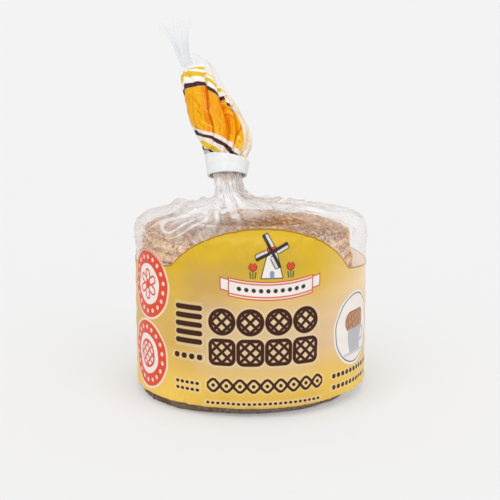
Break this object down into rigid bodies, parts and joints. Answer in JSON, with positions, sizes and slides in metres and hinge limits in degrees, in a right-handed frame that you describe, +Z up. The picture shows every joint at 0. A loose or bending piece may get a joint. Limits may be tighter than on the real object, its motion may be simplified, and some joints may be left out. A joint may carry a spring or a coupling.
{
  "type": "bag of stroopwafels",
  "caption": "Round stack of caramel waffles in a clear bag with a printed band, gathered into a neck with a white tie band and a leaning tail.",
  "frame": {"origin": "centre of the flat base, on the surface that the pack stands on", "axes": "+Z up along the stack of waffles; the printed front faces -Y; the tail leans towards -X and +Y"},
  "size_m": [0.0886, 0.0886, 0.1407],
  "materials": {
    "film": "clear crinkled film, printed yellow round the stack and orange on the tail, over brown waffles",
    "band": "smooth white"
  },
  "bodies": {
    "root": {"bag": "film", "band": "band"}
  },
  "joints": []
}
